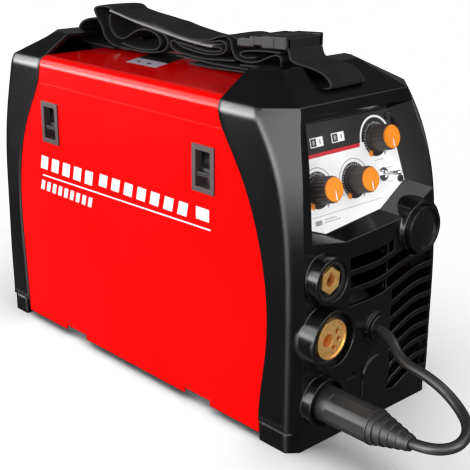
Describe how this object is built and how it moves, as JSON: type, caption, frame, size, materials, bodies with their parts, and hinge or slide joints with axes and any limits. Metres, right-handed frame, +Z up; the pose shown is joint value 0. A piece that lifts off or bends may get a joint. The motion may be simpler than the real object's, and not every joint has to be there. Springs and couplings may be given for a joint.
{
  "type": "MIG welding machine",
  "caption": "Portable MIG welder: red sheet-metal case between black moulded ends, leaning panel with dials, front sockets with a polarity lead, side wire-feed bay, carrying strap.",
  "frame": {"origin": "middle of the footprint of the case, on the floor under the feet, without the loop of the polarity lead and its plug", "axes": "+Z up, -Y towards the front panel, -X towards the hinged side door, right-handed"},
  "size_m": [0.171, 0.5216, 0.3003],
  "materials": {
    "black_gloss": "glossy moulded plastic",
    "black_matte": "matte moulded plastic",
    "red_paint": "smooth powder coat",
    "zinc_steel": "zinc plated",
    "latch_plastic": "fine textured plastic",
    "overlay_print": "printed sheet",
    "window_plastic": "clear tinted plastic",
    "knob_plastic": "ribbed plastic",
    "orange_plastic": "smooth plastic",
    "chrome_metal": "polished",
    "brass_metal": "machined",
    "badge_plastic": "glossy dome",
    "grey_rubber": "matte rubber",
    "webbing_fabric": "woven webbing",
    "pad_fabric": "woven pad",
    "buckle_plastic": "satin plastic",
    "circuit_board": "solder mask",
    "aluminium_metal": "extruded",
    "core_ferrite": "sintered",
    "capacitor_can": "sleeved can",
    "copper_wire": "copper-coated steel wire",
    "spool_plastic": "moulded"
  },
  "bodies": {
    "machine": {"front_bezel": "black_gloss", "rear_bezel": "black_gloss", "feet": "black_matte", "base_tray": "zinc_steel", "main_cover": "red_paint", "base_hinges": "zinc_steel", "centre_divider": "zinc_steel", "control_overlay": "overlay_print", "indicator_windows": "window_plastic", "potentiometers": "black_matte", "control_board": "circuit_board", "toggle_body": "chrome_metal", "screws": "zinc_steel", "badge": "badge_plastic", "socket_housings": "black_matte", "socket_contacts": "brass_metal", "torch_connector": "brass_metal", "cable_grommet": "grey_rubber", "polarity_cable": "grey_rubber", "plug_sleeve": "grey_rubber", "plug_pin": "brass_metal", "plug_boot": "grey_rubber", "spool_spindle": "spool_plastic", "feeder_plate": "black_matte", "feeder_motor": "zinc_steel", "wire_guides": "brass_metal", "power_board": "circuit_board", "heatsinks": "aluminium_metal", "transformer": "core_ferrite", "output_choke": "core_ferrite", "capacitors": "capacitor_can", "fan_frame": "black_matte", "rear_rocker_frame": "black_matte", "gas_inlet": "brass_metal", "mains_gland": "black_matte", "carry_strap": "webbing_fabric", "shoulder_pad": "pad_fabric", "buckle_socket": "buckle_plastic", "buckle_tongue": "buckle_plastic"},
    "door": {"side_door": "red_paint", "door_hinge_leaves": "zinc_steel", "latch_frames": "latch_plastic"},
    "front_latch": {"latch_slider_front": "latch_plastic"},
    "rear_latch": {"latch_slider_rear": "latch_plastic"},
    "upper_dial": {"upper_knob": "knob_plastic", "upper_knob_cap": "orange_plastic"},
    "centre_dial": {"centre_knob": "knob_plastic", "centre_knob_cap": "orange_plastic"},
    "left_dial": {"left_knob": "knob_plastic", "left_knob_cap": "orange_plastic"},
    "toggle": {"toggle_lever": "chrome_metal"},
    "spool": {"wire_spool": "spool_plastic", "wire_winding": "copper_wire"},
    "hub_nut": {"spool_nut": "black_matte"},
    "feed_roll": {"drive_roll": "zinc_steel"},
    "feed_arm": {"pressure_arm": "black_matte"},
    "idler_roll": {"pressure_roll": "zinc_steel"},
    "tensioner": {"tension_knob": "black_matte"},
    "fan": {"fan_rotor": "black_matte"},
    "mains_rocker": {"rear_rocker": "black_matte"}
  },
  "joints": [
    {"name": "door_hinge", "type": "hinge", "parent": "machine", "child": "door", "pos_m": [-0.0802, 0, 0.0101], "axis": [0, -1, 0], "range_deg": [0, 88]},
    {"name": "front_latch_slide", "type": "slide", "parent": "door", "child": "front_latch", "axis": [0, 0, -1], "range_m": [0, 0.007], "stiffness_N_per_m": 150, "springref_m": -0.004},
    {"name": "rear_latch_slide", "type": "slide", "parent": "door", "child": "rear_latch", "axis": [0, 0, -1], "range_m": [0, 0.007], "stiffness_N_per_m": 150, "springref_m": -0.004},
    {"name": "upper_dial_turn", "type": "hinge", "parent": "machine", "child": "upper_dial", "pos_m": [0.0305, -0.16642, 0.22104], "axis": [0, -0.9659, 0.2588], "range_deg": [-290, 0]},
    {"name": "centre_dial_turn", "type": "hinge", "parent": "machine", "child": "centre_dial", "pos_m": [-0.0006, -0.17341, 0.19496], "axis": [0, -0.9659, 0.2588], "range_deg": [-290, 0]},
    {"name": "left_dial_turn", "type": "hinge", "parent": "machine", "child": "left_dial", "pos_m": [-0.0412, -0.17341, 0.19496], "axis": [0, -0.9659, 0.2588], "range_deg": [-290, 0]},
    {"name": "toggle_flip", "type": "hinge", "parent": "machine", "child": "toggle", "pos_m": [0.032, -0.1728, 0.19335], "axis": [0, 0.2588, 0.9659], "range_deg": [-40, 0]},
    {"name": "spool_turn", "type": "hinge", "parent": "machine", "child": "spool", "pos_m": [-0.046, 0.042, 0.118], "axis": [1, 0, 0], "continuous": true},
    {"name": "hub_nut_turn", "type": "hinge", "parent": "machine", "child": "hub_nut", "pos_m": [-0.0755, 0.042, 0.118], "axis": [1, 0, 0], "continuous": true},
    {"name": "feed_roll_turn", "type": "hinge", "parent": "machine", "child": "feed_roll", "pos_m": [-0.061, -0.115, 0.07655], "axis": [1, 0, 0], "continuous": true},
    {"name": "feed_arm_lift", "type": "hinge", "parent": "machine", "child": "feed_arm", "pos_m": [-0.061, -0.092, 0.122], "axis": [-1, 0, 0], "range_deg": [0, 60]},
    {"name": "idler_roll_turn", "type": "hinge", "parent": "feed_arm", "child": "idler_roll", "pos_m": [-0.061, -0.115, 0.10345], "axis": [1, 0, 0], "continuous": true},
    {"name": "tensioner_turn", "type": "hinge", "parent": "feed_arm", "child": "tensioner", "pos_m": [-0.061, -0.139, 0.13], "axis": [0, 0, 1], "range_deg": [-720, 720]},
    {"name": "fan_spin", "type": "hinge", "parent": "machine", "child": "fan", "pos_m": [0.038, 0.1745, 0.105], "axis": [0, 1, 0], "continuous": true},
    {"name": "mains_rocker_tip", "type": "hinge", "parent": "machine", "child": "mains_rocker", "pos_m": [-0.05, 0.186, 0.209], "axis": [-1, 0, 0], "range_deg": [0, 14]}
  ],
  "couplings": [
    {"joint": "idler_roll_turn", "follows": "feed_roll_turn", "ratio": -1.3636}
  ]
}
